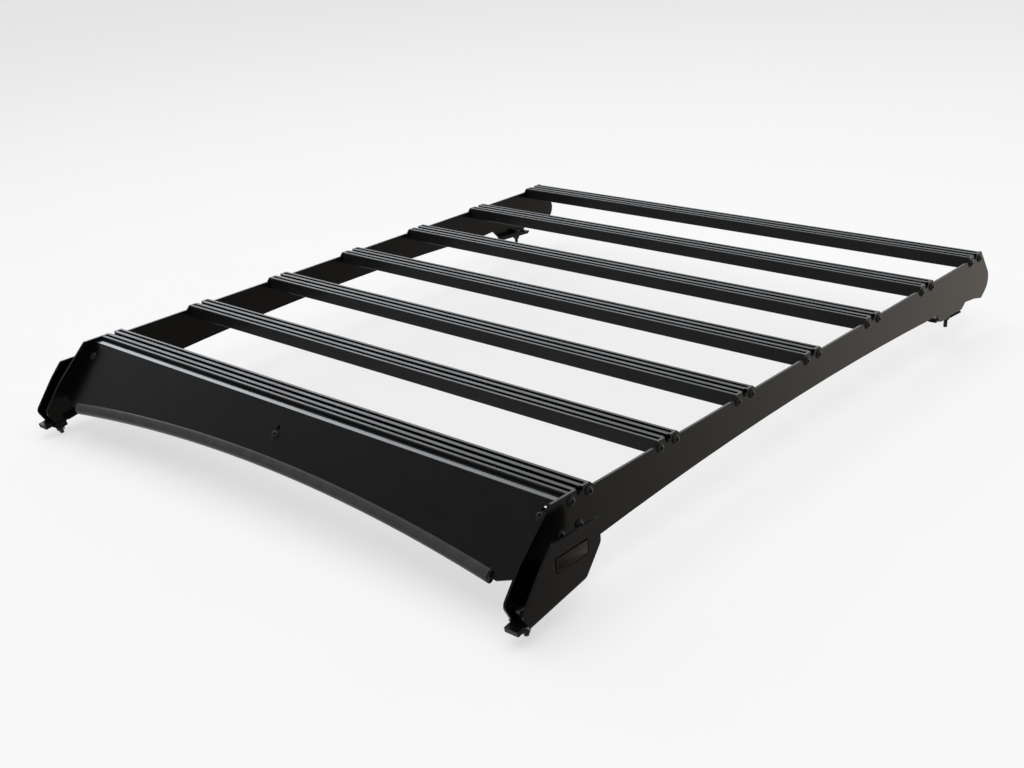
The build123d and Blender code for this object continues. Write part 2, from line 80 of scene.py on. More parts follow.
REAR_HEAD_SEAT = 7.0
REAR_NUT_SEAT = -3.0
REAR_BOLT_END = -25.0
FLANGE_BOLT_X = 567.0
FLANGE_BOLT_ALONG = (48.0, 96.0)
DEFLECTOR_BEND_POINT = (-39.5, -6.8)
DEFLECTOR_LEAN = 43.8
DEFLECTOR_THICKNESS = 2.5
DEFLECTOR_HALF = 572.5
DEFLECTOR_BOLTS = ((-556.0, 26.0), (0.0, 46.0), (556.0, 26.0))

# Section of the deflector's top flange, in side coordinates
FLANGE_LIP = (
    (-40.3, -6.9), (-40.1, -6.1), (-39.4, -5.6), (-24.9, -5.6), (-24.5, -6.0),
    (-24.5, -8.9), (-24.9, -9.3), (-30.4, -9.3), (-30.4, -6.9))

# Badge plate: each level is an inset of the outline and its height
BADGE_MIDDLE = (-59.9, -67.1)
BADGE_SIZE = (68.5, 24.0)
BADGE_TURN = 0.8
BADGE_CORNER = 3.4
BADGE_LEAST_CORNER = 0.2
BADGE_GASKET = ((0.0, 0.0), (0.0, 0.2), (0.2, 0.35), (2.4, 0.35))
BADGE_BORDER = ((2.1, 0.2), (2.1, 0.6), (2.3, 0.8), (3.0, 0.8), (3.2, 0.55))
BADGE_FIELD = ((3.1, 0.3), (3.1, 0.6), (3.3, 0.66))

# Rubber trim on the deflector's arched lower edge: its section lies up the face and out of it
ARCH_RADIUS = 4000.0
ARCH_DEPTH = 93.0
TRIM_HALF = 518.5
TRIM_STEPS = 96
TRIM_LOW = -8.4
TRIM_TOP = 10.5
TRIM_FRONT = 7.0
TRIM_BACK = -11.0
TRIM_ROUND = 5.0
TRIM_LOW_ROUND = 9.0
TRIM_WALL = 1.8
TRIM_SLOT = (-2.7, 0.2)
TRIM_SLOT_DEPTH = -0.2
TRIM_HOLLOW_END = 145.0

# Fasteners
ROUND_STEPS = 36
CORNER_STEPS = 6
SHARP_ANGLE = 32.0
HEX_RIM_SHARE = 0.97
HEX_CHAMFER = 30.0
WASHER_EDGE = 0.3
BOLT_HEX = 13.0
BOLT_HEAD_HEIGHT = 5.3
NUT_HEIGHT = 6.5
NUT_FLANGE_RADIUS = 8.0
NUT_FLANGE_HEIGHT = 1.6
COLLAR_RADIUS = 5.5
THREAD_RADIUS = 4.0
THREAD_TIP_RADIUS = 2.8
THREAD_PITCH = 1.25
THREAD_DEPTH = 0.6
THREAD_ROWS_PER_TURN = 8
THREAD_OVERLAP = 0.2
PLAIN_NUT_HEX = 10.0
PLAIN_NUT_HEIGHT = 5.2
PLAIN_WASHER_RADIUS = 6.2
PLAIN_WASHER_HEIGHT = 1.4
STUD_RADIUS = 2.9
STUD_TIP_RADIUS = 2.3
STUD_TIP_HEIGHT = 0.6
STUD_RISE = 1.8
STUD_SUNK = 0.5
FOOT_BOLT_SIZE = 0.9
FLANGE_BOLT_SIZE = 0.6
DEFLECTOR_BOLT_SIZE = 0.95
TURN_SEED = 11

# Button head, as radius and height, and its socket, as width over flats and height
BUTTON_FLANGE = ((7.6, 0.0), (8.0, 0.3), (8.0, 0.9), (7.7, 1.2), (6.9, 1.25))
BUTTON_DOME = ((6.7, 1.3), (6.6, 1.8), (6.2, 2.6), (5.5, 3.2), (4.5, 3.6), (3.35, 3.75))
BUTTON_SOCKET = ((5.2, 3.4), (5.0, 1.5))
BUTTON_SOCKET_TIP = (0.4, 1.1)

# Rounding of the solids' edges by finish, in millimetres
EDGE_WIDTHS = {
    "slat_coat": 0.15, "rail_coat": 0.08, "deflector_coat": 0.2, "bracket_coat": 0.2,
    "clamp_metal": 0.4, "bolt_steel": 0.2, "trim_rubber": 0.3, "pad_rubber": 0.8,
}
WELD_DISTANCE = 0.00001
FLAT_ANGLE = 0.3
BEVEL_ANGLE = 40.0
BEVEL_SEGMENTS = 2
NORMAL_WEIGHT = 100

# Finishes: noise scales in lumps a metre, depths and edge widths in metres, pairs as ranges
UNIT = (0.0, 1.0)
NOISE_SPREAD = (0.3, 0.7)
EDGE_SPREAD = (0.995, 0.86)
EDGE_SAMPLES = 4
BROAD_DETAIL = 5.0
GRAIN_DETAIL = 3.0
FINE_DETAIL = 2.0
BLOTCH_SCALE = 16.0
BLOTCH_GLOSS_SPREAD = (0.25, 0.75)
PEEL_SCALE = 420.0
PEEL_DEPTH = 0.0004
FINE_SCALE = 1500.0
FINE_DEPTH = 0.00015
FINE_GLOSS = (-0.03, 0.03)
RUB_SCALE = 60.0
RUB_DETAIL = 4.0
RUB_SPREAD = (0.4, 0.65)
RUB_SHARE = (0.15, 0.8)
COAT_EDGE = 0.0009
STREAK_SCALE = 1.0
STREAK_STRETCH = (2.0, 900.0, 900.0)
STREAK_SHARE = 0.6
STREAK_DEPTH = 0.0002
RUBBER_SPECULAR = 0.35
BLOOM_SCALE = 45.0
BLOOM_SPREAD = (0.35, 0.7)
BLOOM_GLOSS = 0.12
RIB_DISTORTION = 0.6
RIB_DEPTH = 0.0004
RUBBER_GRAIN_SCALE = 900.0
RUBBER_GRAIN_SHARE = 0.7
RUBBER_GRAIN_DEPTH = 0.0002
MOTTLE_SCALE = 260.0
STEEL_EDGE = 0.0004
STEEL_EDGE_GAIN = 1.8
STEEL_EDGE_LIFT = 0.02
STEEL_GRAIN_SCALE = 1800.0
STEEL_GRAIN = 0.12
STEEL_GRAIN_DEPTH = 0.0001

# Floor and backdrop, in metres; the backdrop's profile is radius and height
FLOOR_REACH = 40.0
FLOOR_DARK = (0.37, 0.37, 0.368)
FLOOR_LIGHT = (0.39, 0.39, 0.388)
FLOOR_SPECKLE_SCALE = 3.0
FLOOR_SPECKLE_DETAIL = 4.0
FLOOR_ROUGHNESS = 0.9
FLOOR_SPECULAR = 0.1
FLOOR_GLOW = 0.62
BACKDROP_PROFILE = (
    (38.0, 0.0), (39.5, 0.3), (40.7, 1.2), (41.5, 2.8), (42.0, 5.0), (42.0, 40.0))
BACKDROP_STEPS = 64
BACKDROP_DARK = (0.99, 0.99, 0.985)
BACKDROP_LIGHT = (1.0, 1.0, 0.995)
BACKDROP_SPECKLE_SCALE = 0.2
BACKDROP_GLOW = 0.74
WHITE = (1, 1, 1, 1)
BLACK = (0, 0, 0, 1)

# Studio light: places are directions, and pairs are ranges of a direction or of brightness
SOFTBOX_PLACE = (-0.55, 0.72, 0.42)
SOFTBOX_SPREAD = (0.35, 0.85)
SOFTBOX_BRIGHTNESS = (0.0, 1.12)
SOFTBOX_FOOT = (0.25, 0.315)
SOFTBOX_FOOT_SHARE = (0.2, 1.1)
SOFTBOX_HEAD = (0.38, 0.6)
SOFTBOX_HEAD_SHARE = (1.0, 0.12)
SIDE_PLACE = (-0.906, 0.423, 0.0)
SIDE_SPREAD = (0.7, 0.945)
SIDE_GAIN = 1.4
SKY_LEAST = 0.2
SKY_COLOUR = (0.96, 0.99, 1.03)
REAR_SPREAD = (0.5, 1.0)
LEFT_SPREAD = (-0.25, -0.6)
LEFT_FALL = (-0.36, -0.8)
LEFT_BRIGHTNESS = (0.07, 0.6)
GROUND_LEAST = 0.106
GLOW_SPREAD = (-0.4, 0.1)
GLOW_COOL = (0.97, 1.0, 1.04)
GLOW_WARM = (1.08, 1.0, 0.9)
HORIZON = (-0.03, 0.03)
FALL_POWER = 2.0
LAMP_SIZE = 6.0
LAMP_POWER = 150.0
LAMP_HEIGHT = 4.0

# Camera fitted to the photograph
CAMERA_PLACE = (1672.0, -1254.6, 840.1)
CAMERA_AZIMUTH = 43.865
CAMERA_ELEVATION = 22.264
CAMERA_ROLL = 4.312
CAMERA_FOCAL_PIXELS = 1366.4
IMAGE_WIDTH = 1024
SENSOR_WIDTH = 36.0


def spot(x, y, z):
    """Point in metres from side coordinates in millimetres."""
    return Vector((x * MM, SLAT_Y + y * MM, SLAT_TOP + z * MM))


def seat(origin, out, across):
    """Matrix of a small part's seat: its z points out of the surface and its x runs across."""
    out = Vector(out).normalized()
    across = Vector(across)
    across = (across - out * across.dot(out)).normalized()
    turn = Matrix((across, out.cross(across), out)).transposed().to_4x4()
    return Matrix.Translation(spot(*origin)) @ turn


def rail_seat(side, x, y, z, way):
    """Seat on a side rail, facing out of the rack or into it."""
    return seat((side * x, y, z), (side * way, 0, 0), (0, 1, 0))


def foot_seat(base, slope, x, along, above):
    """Seat on a sloped foot base, facing up."""
    lean = math.radians(slope)
    y = base[0] + along * math.cos(lean) - above * math.sin(lean)
    z = base[1] + along * math.sin(lean) + above * math.cos(lean)
    return seat((x, y, z), (0, -math.sin(lean), math.cos(lean)), (1, 0, 0))


def deflector_point(depth, out):
    """Side coordinates of a point down the deflector's leaning face and out of it."""
    lean = math.radians(DEFLECTOR_LEAN)
    y = DEFLECTOR_BEND_POINT[0] - depth * math.sin(lean) - out * math.cos(lean)
    z = DEFLECTOR_BEND_POINT[1] - depth * math.cos(lean) + out * math.sin(lean)
    return y, z


def deflector_seat(x, depth, behind, out):
    """Seat on the deflector's leaning face, or behind it."""
    lean = math.radians(DEFLECTOR_LEAN)
    facing = (0, -out * math.cos(lean), out * math.sin(lean))
    return seat((x, *deflector_point(depth, -behind)), facing, (1, 0, 0))


class Shell:
    """Points and faces of one mesh, gathered in millimetres."""

    def __init__(self):
        self.points = []
        self.faces = []

    def ring(self, points):
        """Adds a ring of points and returns their numbers."""
        first = len(self.points)
        self.points.extend(points)
        return list(range(first, len(self.points)))

    def skin(self, rings, closed=True):
        """Joins rings of one length with four-sided faces, and closes the ends if asked."""
        numbers = [self.ring(ring) for ring in rings]
        count = len(numbers[0])
        for lower, upper in zip(numbers, numbers[1:]):
            for i in range(count):
                j = (i + 1) % count
                self.faces.append((lower[i], lower[j], upper[j], upper[i]))
        if closed:
            self.faces.append(tuple(reversed(numbers[0])))
            self.faces.append(tuple(numbers[-1]))

    def piece(self, name, matrix, look, slot):
        """Makes the object at its seat and sets it on the rack."""
        mesh = bpy.data.meshes.new(name)
        mesh.from_pydata([matrix @ (Vector(p) * MM) for p in self.points], [], self.faces)
        mesh.polygons.foreach_set("use_smooth", [True] * len(mesh.polygons))
        mesh.set_sharp_from_angle(angle=math.radians(SHARP_ANGLE))
        mesh.materials.append(look)
        obj = bpy.data.objects.new(name, mesh)
        bpy.context.collection.objects.link(obj)
        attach(obj, "root")
        return obj


def circle(radius, height):
    """Ring of points on a circle."""
    turns = [2 * math.pi * i / ROUND_STEPS for i in range(ROUND_STEPS)]
    return [(radius * math.cos(a), radius * math.sin(a), height) for a in turns]


def hexagon(flats, height, chamfer_from=None, slope=0.0):
    """Ring of points on a hexagon. Corners past a chamfer's radius drop along its slope, or
    rise if the slope is below nought."""
    points = []
    for i in range(ROUND_STEPS):
        angle = 2 * math.pi * i / ROUND_STEPS
        reach = flats / 2 / math.cos(angle % (math.pi / 3) - math.pi / 6)
        drop = 0.0 if chamfer_from is None else max(0.0, reach - chamfer_from) * slope
        points.append((reach * math.cos(angle), reach * math.sin(angle), height - drop))
    return points


def hex_body(shell, flats, low, high, both):
    """Hexagon of a bolt head or nut, chamfered above, or on both ends."""
    rim = flats / 2 * HEX_RIM_SHARE
    slope = math.tan(math.radians(HEX_CHAMFER))
    if both:
        rings = [circle(rim, low), hexagon(flats, low, rim, -slope)]
    else:
        rings = [hexagon(flats, low)]
    rings += [hexagon(flats, high, rim, slope), circle(rim, high)]
    shell.skin(rings)


def washer(shell, radius, low, high):
    """Round washer with softened edges."""
    inner = radius - WASHER_EDGE
    shell.skin([
        circle(inner, low), circle(radius, low + WASHER_EDGE),
        circle(radius, high - WASHER_EDGE), circle(inner, high)])


def thread(shell, low, high):
    """Helical thread as a round bar whose radius follows a screw line."""
    rows = max(2, round((high - low) / THREAD_PITCH * THREAD_ROWS_PER_TURN))
    rings = [circle(THREAD_TIP_RADIUS, low)]
    for row in range(rows + 1):
        height = low + (high - low) * row / rows
        ring = []
        for i in range(ROUND_STEPS):
            phase = (height / THREAD_PITCH - i / ROUND_STEPS) % 1.0
            radius = THREAD_RADIUS - THREAD_DEPTH * abs(2 * phase - 1)
            angle = 2 * math.pi * i / ROUND_STEPS
            ring.append((radius * math.cos(angle), radius * math.sin(angle), height))
        rings.append(ring)
    rings.append(circle(THREAD_TIP_RADIUS, high))
    shell.skin(rings)


def button_head(size=1.0):
    """Flanged button-head bolt with a hexagon socket, seated at zero height."""
    shell = Shell()
    rings = [circle(r * size, h * size) for r, h in BUTTON_FLANGE + BUTTON_DOME]
    rings += [hexagon(flats * size, h * size) for flats, h in BUTTON_SOCKET]
    rings.append(circle(*(v * size for v in BUTTON_SOCKET_TIP)))
    shell.skin(rings)
    return shell


def plain_nut():
    """Hexagon nut on a washer with the bolt's end standing out of it."""
    shell = Shell()
    top = PLAIN_WASHER_HEIGHT + PLAIN_NUT_HEIGHT
    washer(shell, PLAIN_WASHER_RADIUS, 0.0, PLAIN_WASHER_HEIGHT)
    hex_body(shell, PLAIN_NUT_HEX, PLAIN_WASHER_HEIGHT, top, True)
    end = top + STUD_RISE
    shell.skin([
        circle(STUD_RADIUS, top - STUD_SUNK), circle(STUD_RADIUS, end - STUD_TIP_HEIGHT),
        circle(STUD_TIP_RADIUS, end)])
    return shell


def clamp_bolt(nut_seat, end, head_seat, collar_seat=None):
    """Clamp bolt in its foot's frame: head, any collar, flanged nut and threaded end."""
    shell = Shell()
    hex_body(shell, BOLT_HEX, head_seat, head_seat + BOLT_HEAD_HEIGHT, False)
    if collar_seat is not None:
        washer(shell, COLLAR_RADIUS, collar_seat, head_seat)
    nut_low, flange_low = nut_seat - NUT_HEIGHT, nut_seat - NUT_FLANGE_HEIGHT
    washer(shell, NUT_FLANGE_RADIUS, flange_low, nut_seat)
    hex_body(shell, BOLT_HEX, nut_low, flange_low, True)
    shell.skin([circle(THREAD_RADIUS, nut_seat), circle(THREAD_RADIUS, head_seat)])
    thread(shell, end, nut_low + THREAD_OVERLAP)
    return shell


def rounded_box_ring(width, height, radius, level):
    """Ring of points round a rectangle with round corners."""
    points = []
    corners = ((1, 1, 0), (-1, 1, 90), (-1, -1, 180), (1, -1, 270))
    for sx, sy, start in corners:
        for step in range(CORNER_STEPS + 1):
            angle = math.radians(start + 90 * step / CORNER_STEPS)
            points.append((sx * (width / 2 - radius) + radius * math.cos(angle),
                           sy * (height / 2 - radius) + radius * math.sin(angle), level))
    return points


def badge_part(levels):
    """Part of the bare badge plate, from insets of its outline and their heights."""
    shell = Shell()
    width, height = BADGE_SIZE
    rings = []
    for inset, level in levels:
        corner = max(BADGE_CORNER - inset, BADGE_LEAST_CORNER)
        rings.append(rounded_box_ring(width - 2 * inset, height - 2 * inset, corner, level))
    shell.skin(rings)
    return shell


def link(tree, source, target):
    """Joins two sockets."""
    tree.links.new(source, target)


def ranged(tree, value, source, target=UNIT):
    """Stretches a value from one range to another."""
    node = tree.nodes.new("ShaderNodeMapRange")
    names = ("From Min", "From Max", "To Min", "To Max")
    for name, number in zip(names, (*source, *target)):
        node.inputs[name].default_value = number
    link(tree, value, node.inputs["Value"])
    return node.outputs["Result"]


def noise(tree, coords, scale, detail=GRAIN_DETAIL, stretch=None):
    """Noise of a scale in lumps a metre, stretched along the axes if asked."""
    node = tree.nodes.new("ShaderNodeTexNoise")
    node.inputs["Scale"].default_value = scale
    node.inputs["Detail"].default_value = detail
    if stretch is not None:
        mapping = tree.nodes.new("ShaderNodeMapping")
        mapping.inputs["Scale"].default_value = stretch
        link(tree, coords, mapping.inputs["Vector"])
        coords = mapping.outputs["Vector"]
    link(tree, coords, node.inputs["Vector"])
    return node.outputs["Fac"]


def blend(tree, factor, first, second):
    """Mixes two colours, each a socket or a plain colour."""
    node = tree.nodes.new("ShaderNodeMix")
    node.data_type = "RGBA"
    link(tree, factor, node.inputs["Factor"])
    for value, name in ((first, "A"), (second, "B")):
        socket = next(s for s in node.inputs if s.name == name and s.type == "RGBA")
        if isinstance(value, tuple):
            socket.default_value = (*value, 1)
        else:
            link(tree, value, socket)
    return next(s for s in node.outputs if s.type == "RGBA")


def arithmetic(tree, operation, first, second):
    """Sum, product or power of two values, the second a socket or a number."""
    node = tree.nodes.new("ShaderNodeMath")
    node.operation = operation
    link(tree, first, node.inputs[0])
    if isinstance(second, (int, float)):
        node.inputs[1].default_value = second
    else:
        link(tree, second, node.inputs[1])
    return node.outputs["Value"]


def towards(tree, coords, direction):
    """How far a direction points towards another, from minus one to one."""
    node = tree.nodes.new("ShaderNodeVectorMath")
    node.operation = "DOT_PRODUCT"
    node.inputs[1].default_value = Vector(direction).normalized()
    link(tree, coords, node.inputs[0])
    return node.outputs["Value"]


def raised(tree, height, strength, depth, normal=None):
    """Bump from a height, over another bump if one is given."""
    node = tree.nodes.new("ShaderNodeBump")
    node.inputs["Strength"].default_value = strength
    node.inputs["Distance"].default_value = depth
    link(tree, height, node.inputs["Height"])
    if normal is not None:
        link(tree, normal, node.inputs["Normal"])
    return node.outputs["Normal"]


def edges(tree, radius):
    """One along edges and nought on flat stretches."""
    round_node = tree.nodes.new("ShaderNodeBevel")
    round_node.samples = EDGE_SAMPLES
    round_node.inputs["Radius"].default_value = radius
    geometry = tree.nodes.new("ShaderNodeNewGeometry")
    dot = tree.nodes.new("ShaderNodeVectorMath")
    dot.operation = "DOT_PRODUCT"
    link(tree, round_node.outputs["Normal"], dot.inputs[0])
    link(tree, geometry.outputs["Normal"], dot.inputs[1])
    return ranged(tree, dot.outputs["Value"], EDGE_SPREAD)


def blank(name):
    """New material with its tree, shader and object coordinates."""
    material = bpy.data.materials.new(name)
    material.use_nodes = True
    tree = material.node_tree
    coords = tree.nodes.new("ShaderNodeTexCoord").outputs["Object"]
    return material, tree, tree.nodes["Principled BSDF"], coords


def powder_coat(name, dark, light, worn, gloss, specular, grain, streaks=False):
    """Black powder coat: fine grain, faint blotches, and edges rubbed a little lighter."""
    material, tree, shader, coords = blank(name)
    blotch = noise(tree, coords, BLOTCH_SCALE, BROAD_DETAIL)
    fine = noise(tree, coords, FINE_SCALE, FINE_DETAIL)
    peel = noise(tree, coords, PEEL_SCALE, FINE_DETAIL)
    colour = blend(tree, ranged(tree, blotch, NOISE_SPREAD), dark, light)
    patches = ranged(tree, noise(tree, coords, RUB_SCALE, RUB_DETAIL), RUB_SPREAD, RUB_SHARE)
    rubbed = arithmetic(tree, "MULTIPLY", edges(tree, COAT_EDGE), patches)
    link(tree, blend(tree, rubbed, colour, worn), shader.inputs["Base Color"])
    broad_gloss = ranged(tree, blotch, BLOTCH_GLOSS_SPREAD, gloss)
    fine_gloss = ranged(tree, fine, NOISE_SPREAD, FINE_GLOSS)
    link(tree, arithmetic(tree, "ADD", broad_gloss, fine_gloss), shader.inputs["Roughness"])
    shader.inputs["Specular IOR Level"].default_value = specular
    normal = raised(tree, peel, grain, PEEL_DEPTH)
    normal = raised(tree, fine, grain, FINE_DEPTH, normal)
    if streaks:
        streak = noise(tree, coords, STREAK_SCALE, FINE_DETAIL, STREAK_STRETCH)
        normal = raised(tree, streak, grain * STREAK_SHARE, STREAK_DEPTH, normal)
    link(tree, normal, shader.inputs["Normal"])
    return material


def rubber(name, dark, light, smooth, rib_scale, rib_strength):
    """Matt rubber with fine ribs across its length and a dusty bloom."""
    material, tree, shader, coords = blank(name)
    bloom = noise(tree, coords, BLOOM_SCALE, BROAD_DETAIL)
    colour = blend(tree, ranged(tree, bloom, BLOOM_SPREAD), dark, light)
    link(tree, colour, shader.inputs["Base Color"])
    gloss = ranged(tree, bloom, NOISE_SPREAD, (smooth, smooth + BLOOM_GLOSS))
    link(tree, gloss, shader.inputs["Roughness"])
    shader.inputs["Specular IOR Level"].default_value = RUBBER_SPECULAR
    wave = tree.nodes.new("ShaderNodeTexWave")
    wave.bands_direction = "X"
    wave.inputs["Scale"].default_value = rib_scale
    wave.inputs["Distortion"].default_value = RIB_DISTORTION
    wave.inputs["Detail"].default_value = FINE_DETAIL
    link(tree, coords, wave.inputs["Vector"])
    normal = raised(tree, wave.outputs["Fac"], rib_strength, RIB_DEPTH)
    grain = noise(tree, coords, RUBBER_GRAIN_SCALE)
    normal = raised(tree, grain, rib_strength * RUBBER_GRAIN_SHARE, RUBBER_GRAIN_DEPTH, normal)
    link(tree, normal, shader.inputs["Normal"])
    return material


def steel(name, dark, light, gloss, metallic):
    """Plated or blackened steel with a mottled finish and brighter edges."""
    material, tree, shader, coords = blank(name)
    mottle = noise(tree, coords, MOTTLE_SCALE, BROAD_DETAIL)
    colour = blend(tree, ranged(tree, mottle, NOISE_SPREAD), dark, light)
    bright = tuple(min(1.0, c * STEEL_EDGE_GAIN + STEEL_EDGE_LIFT) for c in light)
    link(tree, blend(tree, edges(tree, STEEL_EDGE), colour, bright), shader.inputs["Base Color"])
    link(tree, ranged(tree, mottle, NOISE_SPREAD, gloss), shader.inputs["Roughness"])
    shader.inputs["Metallic"].default_value = metallic
    grain = noise(tree, coords, STEEL_GRAIN_SCALE)
    link(tree, raised(tree, grain, STEEL_GRAIN, STEEL_GRAIN_DEPTH), shader.inputs["Normal"])
    return material


def soften(node, width):
    """Rounds a solid's sharp edges a little with modifiers, leaving its mesh as it is."""
    weld = node.modifiers.new("weld", "WELD")
    weld.merge_threshold = WELD_DISTANCE
    flat = node.modifiers.new("flat", "DECIMATE")
    flat.decimate_type = "DISSOLVE"
    flat.angle_limit = math.radians(FLAT_ANGLE)
    bevel = node.modifiers.new("bevel", "BEVEL")
    bevel.width = width * MM
    bevel.segments = BEVEL_SEGMENTS
    bevel.limit_method = "ANGLE"
    bevel.angle_limit = math.radians(BEVEL_ANGLE)
    normals = node.modifiers.new("normals", "WEIGHTED_NORMAL")
    normals.mode = "FACE_AREA"
    normals.weight = NORMAL_WEIGHT


def make_camera():
    """Camera at the photograph's place, with its small roll."""
    azimuth = math.radians(CAMERA_AZIMUTH)
    elevation = math.radians(CAMERA_ELEVATION)
    roll = math.radians(CAMERA_ROLL)
    flat = math.cos(elevation)
    back = Vector((math.sin(azimuth) * flat, -math.cos(azimuth) * flat, math.sin(elevation)))
    level = Vector((0, 0, 1)).cross(back).normalized()
    down = -back.cross(level)
    right = level * math.cos(roll) + down * math.sin(roll)
    up = level * math.sin(roll) - down * math.cos(roll)
    data = bpy.data.cameras.new("camera")
    data.sensor_width = SENSOR_WIDTH
    data.lens = CAMERA_FOCAL_PIXELS * SENSOR_WIDTH / IMAGE_WIDTH
    camera = bpy.data.objects.new("camera", data)
    turn = Matrix((right, up, back)).transposed().to_4x4()
    camera.matrix_world = Matrix.Translation(spot(*CAMERA_PLACE)) @ turn
    bpy.context.collection.objects.link(camera)
    bpy.context.scene.camera = camera


def make_floor():
    """Wide pale floor."""
    mesh = bpy.data.meshes.new("floor")
    signs = ((-1, -1), (1, -1), (1, 1), (-1, 1))
    corners = [(x * FLOOR_REACH, y * FLOOR_REACH, 0) for x, y in signs]
    mesh.from_pydata(corners, [], [(0, 1, 2, 3)])
    floor = bpy.data.objects.new("floor", mesh)
    bpy.context.collection.objects.link(floor)
    material, tree, shader, coords = blank("floor")
    speckle = noise(tree, coords, FLOOR_SPECKLE_SCALE, FLOOR_SPECKLE_DETAIL)
    link(tree, blend(tree, speckle, FLOOR_DARK, FLOOR_LIGHT), shader.inputs["Base Color"])
    shader.inputs["Roughness"].default_value = FLOOR_ROUGHNESS
    shader.inputs["Specular IOR Level"].default_value = FLOOR_SPECULAR
    shader.inputs["Emission Color"].default_value = WHITE
    shader.inputs["Emission Strength"].default_value = FLOOR_GLOW
    mesh.materials.append(material)
    floor.visible_glossy = False


def make_backdrop():
    """Pale curved backdrop far round the floor, which casts no light or shadow."""
    count = BACKDROP_STEPS
    points, faces = [], []
    for radius, height in BACKDROP_PROFILE:
        for i in range(count):
            angle = 2 * math.pi * i / count
            points.append((radius * math.cos(angle), radius * math.sin(angle), height))
    for row in range(len(BACKDROP_PROFILE) - 1):
        low, high = row * count, (row + 1) * count
        for i in range(count):
            j = (i + 1) % count
            faces.append((low + j, low + i, high + i, high + j))
    mesh = bpy.data.meshes.new("backdrop")
    mesh.from_pydata(points, [], faces)
    mesh.polygons.foreach_set("use_smooth", [True] * len(mesh.polygons))
    backdrop = bpy.data.objects.new("backdrop", mesh)
    bpy.context.collection.objects.link(backdrop)
    material, tree, shader, coords = blank("backdrop")
    speckle = noise(tree, coords, BACKDROP_SPECKLE_SCALE)
    glow = blend(tree, speckle, BACKDROP_DARK, BACKDROP_LIGHT)
    link(tree, glow, shader.inputs["Emission Color"])
    shader.inputs["Base Color"].default_value = BLACK
    shader.inputs["Specular IOR Level"].default_value = 0.0
    shader.inputs["Emission Strength"].default_value = BACKDROP_GLOW
    mesh.materials.append(material)
    backdrop.visible_diffuse = False
    backdrop.visible_glossy = False
    backdrop.visible_shadow = False


def make_light():
    """Soft studio light: a tall cool softbox behind on the left, a dim front, a warm glow
    from the floor to the rear, and a wide lamp overhead."""
    world = bpy.data.worlds.new("studio")
    bpy.context.scene.world = world
    world.use_nodes = True
    tree = world.node_tree
    background = tree.nodes["Background"]
    coords = tree.nodes.new("ShaderNodeTexCoord").outputs["Generated"]
    split = tree.nodes.new("ShaderNodeSeparateXYZ")
    link(tree, coords, split.inputs["Vector"])
    x, y, z = (split.outputs[axis] for axis in "XYZ")

    facing = towards(tree, coords, SOFTBOX_PLACE)
    box = ranged(tree, facing, SOFTBOX_SPREAD, SOFTBOX_BRIGHTNESS)
    side = ranged(tree, towards(tree, coords, SIDE_PLACE), SIDE_SPREAD)
    side = arithmetic(tree, "POWER", side, FALL_POWER)
    side = arithmetic(tree, "MULTIPLY", side, SIDE_GAIN)
    side = arithmetic(tree, "ADD", side, 1.0)
    foot = ranged(tree, z, SOFTBOX_FOOT, SOFTBOX_FOOT_SHARE)
    head = ranged(tree, z, SOFTBOX_HEAD, SOFTBOX_HEAD_SHARE)
    wide = arithmetic(tree, "MULTIPLY", box, side)
    tall = arithmetic(tree, "MULTIPLY", foot, head)
    sky = arithmetic(tree, "ADD", arithmetic(tree, "MULTIPLY", wide, tall), SKY_LEAST)

    rear = arithmetic(tree, "POWER", ranged(tree, y, REAR_SPREAD), FALL_POWER)
    fall = ranged(tree, z, LEFT_FALL, LEFT_BRIGHTNESS)
    left = arithmetic(tree, "MULTIPLY", ranged(tree, x, LEFT_SPREAD), fall)
    ground = arithmetic(tree, "ADD", arithmetic(tree, "ADD", rear, left), GROUND_LEAST)

    over = ranged(tree, z, HORIZON)
    strength = tree.nodes.new("ShaderNodeMix")
    strength.data_type = "FLOAT"
    link(tree, over, strength.inputs["Factor"])
    link(tree, ground, strength.inputs["A"])
    link(tree, sky, strength.inputs["B"])
    link(tree, strength.outputs["Result"], background.inputs["Strength"])
    glow = blend(tree, ranged(tree, x, GLOW_SPREAD), GLOW_COOL, GLOW_WARM)
    link(tree, blend(tree, over, glow, SKY_COLOUR), background.inputs["Color"])

    data = bpy.data.lights.new("top_light", "AREA")
    data.size = LAMP_SIZE
    data.energy = LAMP_POWER
    lamp = bpy.data.objects.new("top_light", data)
    lamp.location = (0, 0, LAMP_HEIGHT)
    lamp.visible_glossy = False
    bpy.context.collection.objects.link(lamp)


